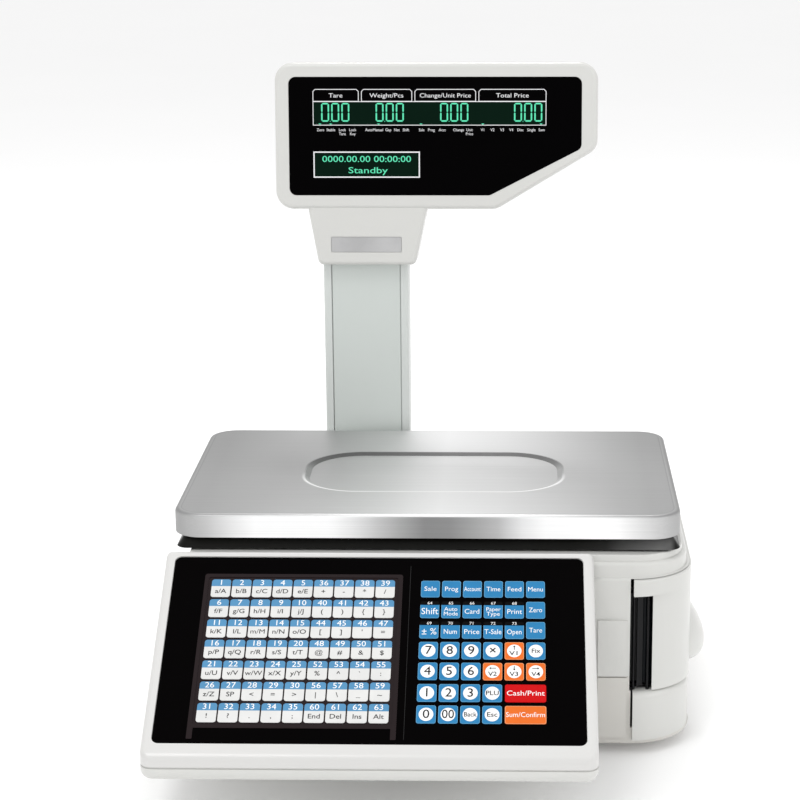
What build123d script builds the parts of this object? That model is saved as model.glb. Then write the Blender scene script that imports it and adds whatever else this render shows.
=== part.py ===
from build123d import *
import math
import os

# Label printing retail scale. Millimetres, +Z up, the front (operator side)
# faces -Y. The origin is the middle of the overall footprint at table level.

# ---------------------------------------------------------------- dimensions
# Everything is laid out about the platter's front edge (Y = 0) and the
# middle of the scale (X = 0), and moved to the footprint centre at the end.
ORIGIN_X = 10.97
ORIGIN_Y = 65.24

WALL = 3.0                 # moulded housing wall
BODY_X0, BODY_X1 = -182.0, 201.2
BODY_Y0, BODY_Y1 = -10.0, 292.0
BODY_Z0 = 8.0              # underside of the base tray, above the feet
SEAM_Z = 63.0              # parting line of the two body mouldings
MAIN_Z = 141.0             # top of the main wall, foot of the shoulder
SHOULDER_Z = 152.5         # top of the shoulder, foot of the plateau
TOP_Z = 157.65             # flat top of the body
CORNER_R = 47.0            # big front right corner of the printer column

PLATTER_CX, PLATTER_CY = 1.0, 121.15
PLATTER_W, PLATTER_D = 380.0, 242.3
PLATTER_TOP, PLATTER_LIP = 186.35, 168.2
PLATTER_T = 1.2
PLATTER_R = 22.0

CONSOLE_X0, CONSOLE_X1 = -192.6, 124.9
CONSOLE_Y0 = -167.5
CONSOLE_SEAM, CONSOLE_Z0 = 55.5, 45.0
KEY_SLOPE = 32.7           # keyboard slope from horizontal, degrees
KEY_Y, KEY_Z = -134.358, 82.892   # slope origin: middle of the bottom key row
RIM_UP = 1.0               # rim above the printed film
FILM_X0, FILM_X1 = -185.2, 117.0
FILM_V0, FILM_V1 = -26.1, 139.5

SLOT_X0 = 153.0            # left edge of the label mouth
DOOR_X = 170.0             # front edge of the door, right edge of the mouth
DOOR_Z0, DOOR_Z1 = 51.2, 139.7
BROW_Z = 127.1
HINGE_X, HINGE_Y = 198.0, 179.0
DOOR_END = 182.0           # rear edge of the door

POLE_CX = -59.25
POLE_W, POLE_D = 71.3, 32.0
POLE_Y0 = 252.0
POLE_Z0, POLE_Z1 = 60.0, 356.0

HEAD_TILT = 5.0
HEAD_Y, HEAD_Z = 244.0, 376.0     # foot of the display face
HEAD_DEPTH = 44.0

FEET = [(-148.0, 36.0), (150.0, 40.0), (-148.0, 254.0), (166.0, 254.0)]

MOVE = Pos(-ORIGIN_X, -ORIGIN_Y, 0)
os.makedirs("parts", exist_ok=True)


# ------------------------------------------------------------------- helpers
def outline(points, radii):
    """A closed flat outline with its corners rounded, in the XY plane."""
    if not isinstance(radii, (list, tuple)):
        radii = [radii] * len(points)
    n = len(points)
    tan = []
    for i in range(n):
        p, a, b = points[i], points[i - 1], points[(i + 1) % n]
        r = radii[i]
        if r <= 0:
            tan.append((p, None, p))
            continue
        ua = (a[0] - p[0], a[1] - p[1])
        ub = (b[0] - p[0], b[1] - p[1])
        la, lb = math.hypot(*ua), math.hypot(*ub)
        ua = (ua[0] / la, ua[1] / la)
        ub = (ub[0] / lb, ub[1] / lb)
        ang = math.acos(max(-1, min(1, ua[0] * ub[0] + ua[1] * ub[1])))
        t = r / math.tan(ang / 2)
        h = r / math.sin(ang / 2)
        mx, my = ua[0] + ub[0], ua[1] + ub[1]
        lm = math.hypot(mx, my)
        mid = (p[0] + mx / lm * (h - r), p[1] + my / lm * (h - r))
        tan.append(((p[0] + ua[0] * t, p[1] + ua[1] * t), mid,
                    (p[0] + ub[0] * t, p[1] + ub[1] * t)))
    edges = []
    for i in range(n):
        s, m, e = tan[i]
        if m is not None:
            edges.append(ThreePointArc(s, m, e))
        nxt = tan[(i + 1) % n][0]
        if math.hypot(nxt[0] - e[0], nxt[1] - e[1]) > 1e-6:
            edges.append(Line(e, nxt))
    return make_face(edges)


def rect(x0, y0, x1, y1, r=0.0):
    return outline([(x0, y0), (x1, y0), (x1, y1), (x0, y1)], r)


def block(x0, x1, y0, y1, z0, z1):
    return Pos((x0 + x1) / 2, (y0 + y1) / 2, (z0 + z1) / 2) * Box(
        x1 - x0, y1 - y0, z1 - z0)


def prism(face, z0, z1):
    return Pos(0, 0, z0) * extrude(face, amount=z1 - z0)


def rod(x, y, z0, z1, r):
    return Pos(x, y, (z0 + z1) / 2) * Cylinder(r, z1 - z0)


def rod_y(x, z, y0, y1, r):
    return Pos(x, (y0 + y1) / 2, z) * Rot(90, 0, 0) * Cylinder(r, y1 - y0)


def rod_x(y, z, x0, x1, r):
    return Pos((x0 + x1) / 2, y, z) * Rot(0, 90, 0) * Cylinder(r, x1 - x0)


def soften(shape, edges, sizes):
    """Round the given edges with the largest radius that closes."""
    for r in sizes:
        try:
            out = fillet(edges, r)
            if out.is_valid and out.volume > 0:
                return out
        except Exception:
            continue
    return shape


def side_profile(points, radii, x0, x1):
    """A (Y, Z) outline extruded along X."""
    face = outline(points, radii)
    solid = extrude(face, amount=x1 - x0)
    # the outline's own x becomes Y and its y becomes Z
    pl = Plane(origin=(x0, 0, 0), x_dir=(0, 1, 0), z_dir=(1, 0, 0))
    return pl * solid


def save(name, shape):
    if isinstance(shape, (list, tuple)):
        shape = Compound([s for one in shape for s in one.solids()])
    shape = MOVE * shape
    shape.label = name
    export_step(shape, "parts/" + name + ".step")
    return shape


SLOPE = Plane(origin=(0, KEY_Y, KEY_Z), x_dir=(1, 0, 0),
              z_dir=(0, -math.sin(math.radians(KEY_SLOPE)),
                     math.cos(math.radians(KEY_SLOPE))))
FACE = Plane(origin=(0, HEAD_Y, HEAD_Z), x_dir=(1, 0, 0),
             z_dir=(0, -math.cos(math.radians(HEAD_TILT)),
                    math.sin(math.radians(HEAD_TILT))))


def slope_point(v, w):
    s, c = math.sin(math.radians(KEY_SLOPE)), math.cos(math.radians(KEY_SLOPE))
    return (KEY_Y + v * c - w * s, KEY_Z + v * s + w * c)


def body_plan(d=0.0, x1=BODY_X1, y0=BODY_Y0, r=CORNER_R):
    """The body's outline seen from above, brought in by d."""
    return outline(
        [(BODY_X0 + d, y0 + d), (x1 - d, y0 + d),
         (x1 - d, BODY_Y1 - d), (BODY_X0 + d, BODY_Y1 - d)],
        [14 - d, r - d, 14 - d, 14 - d])


SMALL_SCREWS, TAPPING_SCREWS, BOLTS, PINS = [], [], [], []   # shared hardware


def slope_z(y, w):
    """Height of the plane w above the keyboard slope, at depth y."""
    s, c = math.sin(math.radians(KEY_SLOPE)), math.cos(math.radians(KEY_SLOPE))
    v = (y - KEY_Y + w * s) / c
    return KEY_Z + v * s + w * c


# ================================================================ base tray
tray = prism(body_plan(), BODY_Z0, SEAM_Z)
tray = soften(tray, tray.edges().group_by(Axis.Z)[0], [3.0, 2.0])
tray = chamfer(tray.edges().group_by(Axis.Z)[-1], 0.5)
tray -= prism(body_plan(WALL), BODY_Z0 + WALL, SEAM_Z + 1)
# shallow raised pad low on the column, beside the printer
tray += block(129, 151, -11.6, -9.5, 14, SEAM_Z - 0.5)
# the printer corner is cut out down to the floor for its own cover
tray -= block(155.5, 210, -20, 183.6, 12.2, SEAM_Z + 1)
tray -= block(SLOT_X0 + 1, 156, -20, -5, 21.8, SEAM_Z + 1)
tray -= block(SLOT_X0, 156, -20, -5, DOOR_Z0, SEAM_Z + 1)
# foot bosses, threaded for the levelling studs
for fx, fy in FEET:
    tray += rod(fx, fy, BODY_Z0 + 1, 24, 8)
    tray -= rod(fx, fy, BODY_Z0 - 1, 30, 3.05)
# chassis posts
CHASSIS_POSTS = [(-78, 84), (80, 84), (-78, 158), (80, 158)]
for px, py in CHASSIS_POSTS:
    tray += rod(px, py, BODY_Z0 + 1, 20, 6)
    tray -= rod(px, py, 11, 21, 1.6)
# board posts
BOARD_POSTS = [(-168, 60), (-98, 60), (-168, 170), (-98, 170)]
for px, py in BOARD_POSTS:
    tray += rod(px, py, BODY_Z0 + 1, 18, 4)
# printer frame posts
PRINTER_POSTS = [(100, 28), (100, 176), (188, 172)]
for px, py in PRINTER_POSTS:
    top_z = 44 if px < 150 else 47.6
    tray += rod(px, py, BODY_Z0 + 1, top_z, 5)
    tray -= rod(px, py, 30, top_z + 1, 1.4)
# housing screw columns
HOUSING_POSTS = [(-172, 0), (-172, 282), (191, 282), (60, 0), (-60, 0), (100, 282)]
for px, py in HOUSING_POSTS:
    tray += rod(px, py, BODY_Z0 + 1, SEAM_Z - 1, 5.2)
    tray -= rod(px, py, BODY_Z0 - 1, SEAM_Z, 1.8)
    tray -= rod(px, py, BODY_Z0 - 1, 14, 3.6)
# vent slots through the floor
for i in range(8):
    tray -= block(-40 + i * 7, -37 + i * 7, 196, 232, 5, 13)
# rear wall: mains inlet, rocker switch and the port plate
tray -= block(-163.7, -136.3, 280, 300, 22.2, 49.8 - 7.6)
tray -= block(-129.5, -110.5, 280, 300, 25.5, 38.5)
tray -= block(-89.5, 20.5, 280, 300, 18.5, 48.5)
save("base_tray", tray)

# ============================================================ upper housing
hous = prism(body_plan(x1=200.4, r=46.2), SEAM_Z, MAIN_Z)
hous = chamfer(hous.edges().group_by(Axis.Z)[0], 0.5)
hous = soften(hous, hous.edges().group_by(Axis.Z)[-1], [2.5, 1.5])
mid = prism(body_plan(1.6, x1=198.6, r=44.0), MAIN_Z - 5, SHOULDER_Z)
mid = soften(mid, mid.edges().group_by(Axis.Z)[-1], [3.0, 2.0])
top = prism(body_plan(4.4, x1=198.0, r=42.0), SHOULDER_Z - 5, TOP_Z)
top = soften(top, top.edges().group_by(Axis.Z)[-1], [1.2, 0.8])
hous = hous + mid + top
hous -= prism(body_plan(WALL, x1=200.4, r=46.2), SEAM_Z - 1, MAIN_Z - WALL)
hous -= prism(body_plan(7.4, x1=198.0, r=42.0), MAIN_Z - 4, TOP_Z - WALL)
hous += block(129, 151, -11.6, -9.5, SEAM_Z + 0.5, 108)
# label mouth, and the opening the door closes
hous -= block(SLOT_X0, 210, -20, 60, SEAM_Z - 2, DOOR_Z1 + 0.5)
hous -= block(155.0, 210, 20, 183.6, SEAM_Z - 2, DOOR_Z1 + 0.5)
# lug over the door that takes the top of the hinge pin
hous += block(190, 199.9, 172, 186, DOOR_Z1 + 0.5, 146.5)
hous -= rod(HINGE_X, HINGE_Y, 138, 146, 1.5)
# passage for the post that carries the platter
hous -= prism(rect(4, 92, 62, 150, 6), TOP_Z - 6, TOP_Z + 2)
# pole socket through the top and the cable passage to the console
hous -= prism(rect(POLE_CX - POLE_W / 2 - 0.25, POLE_Y0 - 0.25,
                   POLE_CX + POLE_W / 2 + 0.25, POLE_Y0 + POLE_D + 0.25, 3),
              TOP_Z - 12, TOP_Z + 2)
hous -= block(-40, 10, -16, 0, 84, 100)
# pocket for the spirit level on the rear deck
hous -= rod(104, 268, TOP_Z - 6, TOP_Z + 1, 8.1)
hous += rod(104, 268, TOP_Z - 7.5, TOP_Z - 2.4, 10)
hous -= rod(104, 268, TOP_Z - 6, TOP_Z + 1, 8.1)
# columns that meet the tray's screw columns
for px, py in HOUSING_POSTS:
    hous += rod(px, py, SEAM_Z - 1, MAIN_Z - 1, 5.2)
    hous -= rod(px, py, SEAM_Z - 2, SEAM_Z + 12, 1.4)
save("upper_housing", hous)

# ====================================================== printer corner cover
# Curved wall below the door. It stands proud of the door at the front, where
# a rolled ledge runs under the label mouth, and dies away round the corner.
def cover_plan(d):
    return outline([(140.0, -13.2 + d), (200.4 - d, -13.2 + d), (200.4 - d, 183.2 + d),
                    (140.0, 183.2 + d)], [0, 48.6 - d, 0, 0])


cover = prism(cover_plan(0.0), 12.3, 50.6) - prism(cover_plan(3.0), 10, 47.6)
cover += ((prism(cover_plan(0.0), 38.0, 50.6) - prism(cover_plan(7.0), 37.0, 52.0))
          & block(150, 210, -20, 80, 38, 51))
cover = cover & block(155.6, 210, -20, 183.2, 12, 51)
cover = soften(cover, [e for e in cover.edges().group_by(Axis.Z)[-1]
                       if (e.center().Y < -13.1 or e.center().X > 200.3
                           or (e.geom_type == GeomType.CIRCLE and e.length > 50
                               and abs(e.radius - 48.6) < 0.1))], [5.2, 4.4, 3.6, 2.4, 1.6])
cover -= rod(HINGE_X, HINGE_Y, 44, 52, 1.5)
cover += rod(HINGE_X, HINGE_Y, 40, 47.8, 2.3) - rod(HINGE_X, HINGE_Y, 44, 52, 1.5)
save("printer_corner_cover", cover)

# ================================================================== the door
def door_band(d_out, d_in):
    outer = outline([(100, BODY_Y0 - d_out), (BODY_X1 + d_out, BODY_Y0 - d_out),
                     (BODY_X1 + d_out, DOOR_END), (100, DOOR_END)],
                    [0, CORNER_R + d_out, 1.2, 0])
    inner = outline([(90, BODY_Y0 + d_in), (BODY_X1 - d_in, BODY_Y0 + d_in),
                     (BODY_X1 - d_in, DOOR_END + 10), (90, DOOR_END + 10)],
                    [0, CORNER_R - d_in, 0, 0])
    return outer - inner


band = prism(door_band(0.0, 3.0), DOOR_Z0, DOOR_Z1)
band -= block(80, DOOR_X, -30, 60, 0, 200)
band -= block(80, 196, 60, 200, 0, 200)
# brow over the label mouth: it stands forward and dies out round the corner
brow = prism(outline([(140.0, -12.8), (201.2, -12.8), (201.2, 60.0), (140.0, 60.0)],
                     [0, 49.0, 0, 0]), BROW_Z, DOOR_Z1)
brow -= prism(outline([(90, BODY_Y0 + 3.0), (BODY_X1 - 3.0, BODY_Y0 + 3.0),
                       (BODY_X1 - 3.0, 100), (90, 100)], [0, CORNER_R - 3.0, 0, 0]),
              100, 150)
brow = brow & block(155.4, 210, -20, 60, 100, 150)
brow = soften(brow, [e for e in brow.edges().group_by(Axis.Z)[-1]
                     if e.center().Y < -12.7 or (e.geom_type == GeomType.CIRCLE
                                                 and abs(e.radius - 49.0) < 0.1)], [1.4, 0.8])
door = band + brow
# hinge barrel along the rear edge
door += rod(HINGE_X, HINGE_Y, DOOR_Z0, DOOR_Z1, 3.2)
door -= rod(HINGE_X, HINGE_Y, DOOR_Z0 - 1, DOOR_Z1 + 1, 1.55)
# finger bulge on the side: the outer cap of a leaning ellipsoid, fullest low down
def bulge(k):
    e = scale(Sphere(1.0), by=(24.4 - k, 41.0 - k, 45.0 - k))
    return Pos(178.25, 62.0, 88.54) * Rot(0, -45.27, 0) * e


door += bulge(0) & block(199.0, 225, 0, 130, DOOR_Z0 + 0.2, 125)
door -= bulge(2.6) & block(196.0, 225, 0, 130, DOOR_Z0 + 2.5, 125)
save("printer_door", door)
PINS.append(rod(HINGE_X, HINGE_Y, 44.0, 146.0, 1.5))

# ============================================================ label printer
FR_Z0, FR_Z1 = 44.0, 47.0
PLATEN_X, PLATEN_Y, PLATEN_R = 165.0, 8.0, 6.5
frame = block(94, 152.5, -5.5, 180, 50.6, 53)        # bay floor, left part
frame += block(152.5, 196, 8, 158, 50.6, 53)
frame = (frame & prism(body_plan(4.2), 40, 60))
frame += block(94, 96, 20, 180, 53, 134)             # inner wall of the bay
frame += block(94, 152.5, 178, 180, 53, 134)
# head plate and top plate over the print line
frame += block(128, 176, 0, 30, 128.5, 130.5)
frame += block(128, 130, 0, 30, 53, 128.5)
for px, py in [(100, 28), (100, 176)]:
    frame += rod(px, py, FR_Z0, 51.5, 6)
    frame -= rod(px, py, 40, 60, 1.6)
# seats of the platen's bearings, the spindle and the take-up
frame += block(156, 176, 0, 16, 51, 53)
frame -= rod(PLATEN_X, PLATEN_Y, 45, 135, 4.5)
frame -= rod(148, 125, 46, 60, 2.0)
frame -= rod(178, 46, 46, 60, 2.0)
frame -= rod(136, 22, 120, 135, 2.0)
frame -= rod(136, 22, 45, 60, 2.0)
frame -= rod(138, 11, 120, 135, 2.55)
# shelf for the feed motor, off the bay's inner wall
frame += block(95, 134, 31, 69, 95, 97) + block(96, 98, 31, 69, 80, 95)
# dark skirt that closes the joint between the tray and the corner cover
frame += block(150.0, 154.9, -6.4, -4.6, 20, 53)
save("printer_frame", frame)

bush = []
for z0, z1 in ((51, 53), (128.5, 130.5)):
    bush.append(rod(PLATEN_X, PLATEN_Y, z0, z1, 4.5)
                - rod(PLATEN_X, PLATEN_Y, z0 - 1, z1 + 1, 2.55))
save("platen_bushings", bush)
save("platen_shaft", rod(PLATEN_X, PLATEN_Y, 51.0, 139.2, 2.5))
save("platen_sleeve", rod(PLATEN_X, PLATEN_Y, 54.0, 127.0, PLATEN_R)
     - rod(PLATEN_X, PLATEN_Y, 53, 128, 2.5))
pul = rod(PLATEN_X, PLATEN_Y, 131.5, 138.5, 7.0)
pul += rod(PLATEN_X, PLATEN_Y, 131.5, 132.3, 8.4) + rod(PLATEN_X, PLATEN_Y, 137.7, 138.5, 8.4)
pul -= rod(PLATEN_X, PLATEN_Y, 131, 139, 2.5)
save("platen_pulley", pul)

MOTOR_X, MOTOR_Y = 114.0, 50.0
motor = prism(rect(MOTOR_X - 17.5, MOTOR_Y - 17.5, MOTOR_X + 17.5, MOTOR_Y + 17.5, 3), 97, 127)
motor = soften(motor, motor.edges().group_by(Axis.Z)[0], [1.0])
motor += rod(MOTOR_X, MOTOR_Y, 127, 129, 11)
motor -= rod(MOTOR_X, MOTOR_Y, 115, 131, 2.55)
save("feed_motor", motor)
mp = rod(MOTOR_X, MOTOR_Y, 131.5, 138.5, 5.0)
mp += rod(MOTOR_X, MOTOR_Y, 131.5, 132.3, 6.4) + rod(MOTOR_X, MOTOR_Y, 137.7, 138.5, 6.4)
mp += rod(MOTOR_X, MOTOR_Y, 118, 138.5, 2.5)
save("motor_pulley", mp)
# toothed belt: a flat loop that clears both pulleys by a tenth
def loop(r1, r2, z0, z1):
    ax, ay, bx, by = PLATEN_X, PLATEN_Y, MOTOR_X, MOTOR_Y
    L = math.hypot(bx - ax, by - ay)
    th = math.atan2(by - ay, bx - ax)
    al = math.acos((r1 - r2) / L)
    pts = []
    a1, a2 = th + al, th - al
    p = lambda cx, cy, r, t: (cx + r * math.cos(t), cy + r * math.sin(t))
    e = [ThreePointArc(p(ax, ay, r1, a1), p(ax, ay, r1, th + math.pi), p(ax, ay, r1, a2)),
         Line(p(ax, ay, r1, a2), p(bx, by, r2, a2)),
         ThreePointArc(p(bx, by, r2, a2), p(bx, by, r2, th), p(bx, by, r2, a1)),
         Line(p(bx, by, r2, a1), p(ax, ay, r1, a1))]
    return prism(make_face(e), z0, z1)


save("drive_belt", loop(8.2, 6.2, 132.6, 137.4) - loop(7.1, 5.1, 132, 138))

# thermal print head on its pivoting carrier
PH_X, PH_Y = 136.0, 22.0
head = block(148.5, 157.4, 0.5, 15.5, 55, 126)
head += block(157.4, 158.4, 2.0, 14.0, 56, 125)
head += block(136, 149, 17, 20, 60, 121) + block(145.5, 149, 14, 20, 60, 121)
head += rod(PH_X, PH_Y, 56, 125, 4.0)
head -= rod(PH_X, PH_Y, 50, 130, 2.05)
save("print_head", head)
PINS.append(rod(PH_X, PH_Y, 50.8, 130.5, 2.0))

# release lever over the head plate
LEV_X, LEV_Y = 138.0, 11.0
lev = rod(LEV_X, LEV_Y, 131.0, 134.5, 5.0)
lev += prism(outline([(LEV_X, LEV_Y - 4), (LEV_X, LEV_Y + 4),
                      (LEV_X - 3, LEV_Y + 4), (LEV_X - 26, LEV_Y + 3),
                      (LEV_X - 26, LEV_Y - 3), (LEV_X - 3, LEV_Y - 4)], [0, 0, 0, 2.5, 2.5, 0]),
             131.0, 134.5)
lev += rod(LEV_X, LEV_Y, 126.6, 134.5, 2.5)
save("release_lever", lev)

# label spindle and liner take-up, both on vertical pins
PINS += [rod(148, 125, 50.7, 76, 2.0), rod(178, 46, 50.7, 116, 2.0)]
SPX, SPY = 148.0, 125.0
sp = rod(SPX, SPY, 53.5, 55.5, 40) + rod(SPX, SPY, 55.5, 77.5, 12.4)
sp = chamfer(sp.edges().group_by(Axis.Z)[-1], 1.2)
sp -= rod(SPX, SPY, 52, 115, 2.05)
for k in range(6):
    a = math.radians(60 * k + 30)
    sp -= rod(SPX + 26 * math.cos(a), SPY + 26 * math.sin(a), 52, 56, 7)
save("label_spindle", sp)
tk = rod(178, 46, 53.5, 55.5, 16) + rod(178, 46, 55.5, 112, 7) + rod(178, 46, 112, 113.5, 12)
tk -= rod(178, 46, 52, 115, 2.05)
tk -= block(183.2, 186.0, 45.4, 46.6, 60, 112)
save("liner_takeup", tk)
# exit: tear edge, guide bar and the label gap sensor
tear = (block(158.6, 160.0, -6.4, -3.0, 53, 128.5)
        + block(158.6, 163.0, -3.0, -1.8, 53, 128.5))
save("guide_bars", [tear, rod(156.2, -4.6, 51, 126.8, 1.1), rod(166.8, -3.4, 50.6, 126.8, 1.4),
                    rod(172.4, 19.0, 53, 128.5, 2.0)])
sen = block(156, 166, 19.5, 29, 53, 66) - block(160.4, 161.6, 15, 40, 57, 70)
save("label_sensor", sen)

# ================================================================== console
s0 = slope_point(-38.74, RIM_UP)
sharp_top = slope_point(148.4, RIM_UP)
plan_c = outline([(CONSOLE_X0, CONSOLE_Y0), (CONSOLE_X1, CONSOLE_Y0),
                  (CONSOLE_X1, BODY_Y0), (CONSOLE_X0, BODY_Y0)], [9, 9, 0, 0])
con = side_profile([(CONSOLE_Y0, CONSOLE_SEAM), (BODY_Y0, CONSOLE_SEAM),
                    (BODY_Y0, sharp_top[1]), (CONSOLE_Y0, s0[1])],
                   [0, 0, 3.4, 9.0], CONSOLE_X0, CONSOLE_X1)
con = con & prism(plan_c, 30, 200)


def console_rim(shape):
    pick = []
    for e in shape.edges():
        c, b = e.center(), e.bounding_box()
        at_side = c.X < CONSOLE_X0 + 9.2 or c.X > CONSOLE_X1 - 9.2
        if at_side and b.max.Z > 62 and b.min.Z > CONSOLE_SEAM + 3:
            # skip the upright back edges
            if b.size.Y < 0.5 and b.size.Z > 20:
                continue
            pick.append(e)
    return pick


con = soften(con, console_rim(con), [4.0, 3.0, 2.2, 1.5])
inner = side_profile([(CONSOLE_Y0 + 2.8, CONSOLE_SEAM - 1), (BODY_Y0 - 2.8, CONSOLE_SEAM - 1),
                      (BODY_Y0 - 2.8, slope_z(BODY_Y0 - 2.8, -3.2)),
                      (CONSOLE_Y0 + 2.8, slope_z(CONSOLE_Y0 + 2.8, -3.2))],
                     [0, 0, 0, 4], CONSOLE_X0 + 2.8, CONSOLE_X1 - 2.8)
inner = inner & prism(outline([(CONSOLE_X0 + 2.8, CONSOLE_Y0 + 2.8), (CONSOLE_X1 - 2.8, CONSOLE_Y0 + 2.8),
                               (CONSOLE_X1 - 2.8, BODY_Y0 - 2.8), (CONSOLE_X0 + 2.8, BODY_Y0 - 2.8)],
                              [6, 6, 0, 0]), 30, 200)
con -= inner
# bed of the printed film
bed = SLOPE * prism(rect(FILM_X0 - 0.25, FILM_V0 - 0.25, FILM_X1 + 0.25, FILM_V1 + 0.25, 5.2), -0.4, 6)
con -= bed
con -= SLOPE * prism(rect(-60, 60, -20, 72, 1), -10, 6)      # tail slot of the film
con -= block(-40, 10, -16, 0, 84, 100)
con = chamfer([e for e in con.edges() if abs(e.center().Z - CONSOLE_SEAM) < 0.01
               and (e.center().Y < -160 or abs(e.center().X - CONSOLE_X0) < 0.1
                    or abs(e.center().X - CONSOLE_X1) < 0.1
                    or e.center().Y < CONSOLE_Y0 + 4)
               and (e.bounding_box().min.Y < CONSOLE_Y0 + 9.01)
               and (e.center().Y < CONSOLE_Y0 + 2.7 or e.center().X < CONSOLE_X0 + 2.7
                    or e.center().X > CONSOLE_X1 - 2.7)], 0.5)
BOSS = [(-176, -20), (-176, 60), (-34, -20.5), (108, -20), (108, 60), (-176, 128), (108, 128)]
for bx, bv in BOSS:
    con += SLOPE * rod(bx, bv, -9.0, -3.0, 3.0)
    con -= SLOPE * rod(bx, bv, -9.5, -2.5, 1.2)
for px in (-183, 115):
    for py in (-150, -30):
        con += rod(px, py, CONSOLE_SEAM + 0.02, slope_z(py, -3.0), 4.0)
        con -= rod(px, py, CONSOLE_SEAM - 1, 64, 1.4)
save("console_top_shell", con)

low = prism(plan_c, CONSOLE_Z0, CONSOLE_SEAM)
low = soften(low, [e for e in low.edges().group_by(Axis.Z)[0] if e.center().Y < BODY_Y0 - 1], [7.0, 5.0, 3.0])
# shadow groove of the seam between the two console shells
low -= prism(plan_c, CONSOLE_SEAM - 0.9, CONSOLE_SEAM + 1) - prism(offset(plan_c, -0.9), CONSOLE_SEAM - 1.0, CONSOLE_SEAM + 1.1)
lin = prism(outline([(CONSOLE_X0 + 2.8, CONSOLE_Y0 + 2.8), (CONSOLE_X1 - 2.8, CONSOLE_Y0 + 2.8),
                     (CONSOLE_X1 - 2.8, BODY_Y0 - 2.8), (CONSOLE_X0 + 2.8, BODY_Y0 - 2.8)],
                    [6, 6, 0, 0]), CONSOLE_Z0 + 2.8, 60)
lin = soften(lin, lin.edges().group_by(Axis.Z)[0], [4.5, 3.0])
low -= lin
for px in (-183, 115):
    for py in (-150, -30):
        low += rod(px, py, CONSOLE_Z0 + 2, CONSOLE_SEAM - 0.02, 4.0)
        low -= rod(px, py, CONSOLE_Z0 - 1, 60, 1.6)
        low -= rod(px, py, CONSOLE_Z0 - 1, CONSOLE_Z0 + 2.6, 3.2)
for i in range(7):
    low -= block(-62 + i * 10, -59 + i * 10, -110, -60, 40, 50)
save("console_bottom_shell", low)
TAPPING_SCREWS += [rod(px, py, CONSOLE_Z0 + 0.6, CONSOLE_Z0 + 2.6, 3.0)
                   + rod(px, py, CONSOLE_Z0 + 2.5, 62.5, 1.35)
                   for px in (-183, 115) for py in (-150, -30)]

# printed film, the clip-in legend frame and the raised key fields
save("keypad_film", SLOPE * prism(rect(FILM_X0, FILM_V0, FILM_X1, FILM_V1, 5), -0.4, 0.0))
fr = rect(-161.5, -12.8, -15.6, 123.6, 2)
hole = rect(-158.6, -9.8, -18.6, 120.6, 2)
bez = SLOPE * (prism(fr, 0.0, 0.5) - prism(hole, -1, 2))
for x0, x1 in ((-161.5, -157.5), (-19.6, -15.6)):
    bez += SLOPE * prism(rect(x0, -22.0, x1, -11.0, 0.8), 0.0, 0.5)
save("legend_frame", bez)
KX0, KPX, KPV = -149.01, 15.088, 18.375
keys = []
for j in range(7):
    for i in range(9):
        cx, cv = KX0 + i * KPX, (6 - j) * KPV
        keys.append(SLOPE * prism(rect(cx - 7.0, cv - 8.1, cx + 7.0, cv + 8.1, 2.0), 0.0, 0.45))
save("plu_keys", keys)
COLS = [4.85, 20.2, 35.6, 51.0, 66.35, 81.7]
ROWS = [110.4, 91.4, 73.1, 54.8, 36.6, 17.9, -0.4]
blue, orange, red = [], [], []


def fkey(cx, cv, w=13.7, h=15.1):
    return SLOPE * prism(rect(cx - w / 2, cv - h / 2, cx + w / 2, cv + h / 2, 1.6), 0.0, 0.45)


for j, v in enumerate(ROWS):
    for i, u in enumerate(COLS):
        if j >= 5 and i >= 4:
            continue
        k = fkey(u, v)
        if (j == 3 and i == 4) or (j == 4 and i >= 3):
            orange.append(k)
        else:
            blue.append(k)
red = [fkey(74.4, ROWS[5], 29.0)]
orange.append(fkey(74.4, ROWS[6], 29.0))
save("function_keys", blue)
save("arrow_keys", orange)
save("total_key", red)
kb = SLOPE * prism(rect(-178.6, -24, 110.6, 134, 2), -10.6, -9.0)
for bx, bv in BOSS:
    kb -= SLOPE * rod(bx, bv, -11, -8, 1.6)
save("keypad_board", kb)
SMALL_SCREWS += [SLOPE * (rod(bx, bv, -12.4, -10.6, 2.6) + rod(bx, bv, -10.7, -3.4, 1.15))
                 for bx, bv in BOSS]

# ============================================================ weighing works
ch = block(-92, 94, 70, 172, 20, 22.5)
ch += block(-92, -89.5, 70, 172, 22.5, 40) + block(91.5, 94, 70, 172, 22.5, 40)
# pedestal that carries the fixed end of the load cell
ch += block(-66, -26, 96, 146, 22.5, 98) - block(-62, -30, 90, 150, 26.5, 94)
for px, py in CHASSIS_POSTS:
    ch -= rod(px, py, 18, 25, 1.7)
LC_Z0 = 101.0
lc_y0, lc_y1 = 106.0, 136.0
for sx in (-58, -40):
    for sy in (113, 129):
        ch -= rod(sx, sy, 90, 100, 2.6)
save("chassis", ch)
SMALL_SCREWS += [rod(px, py, 22.5, 25, 3.0) + rod(px, py, 12, 22.6, 1.55)
                 for px, py in CHASSIS_POSTS]
cell = block(-64, 66, lc_y0, lc_y1, LC_Z0, LC_Z0 + 24)
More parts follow.
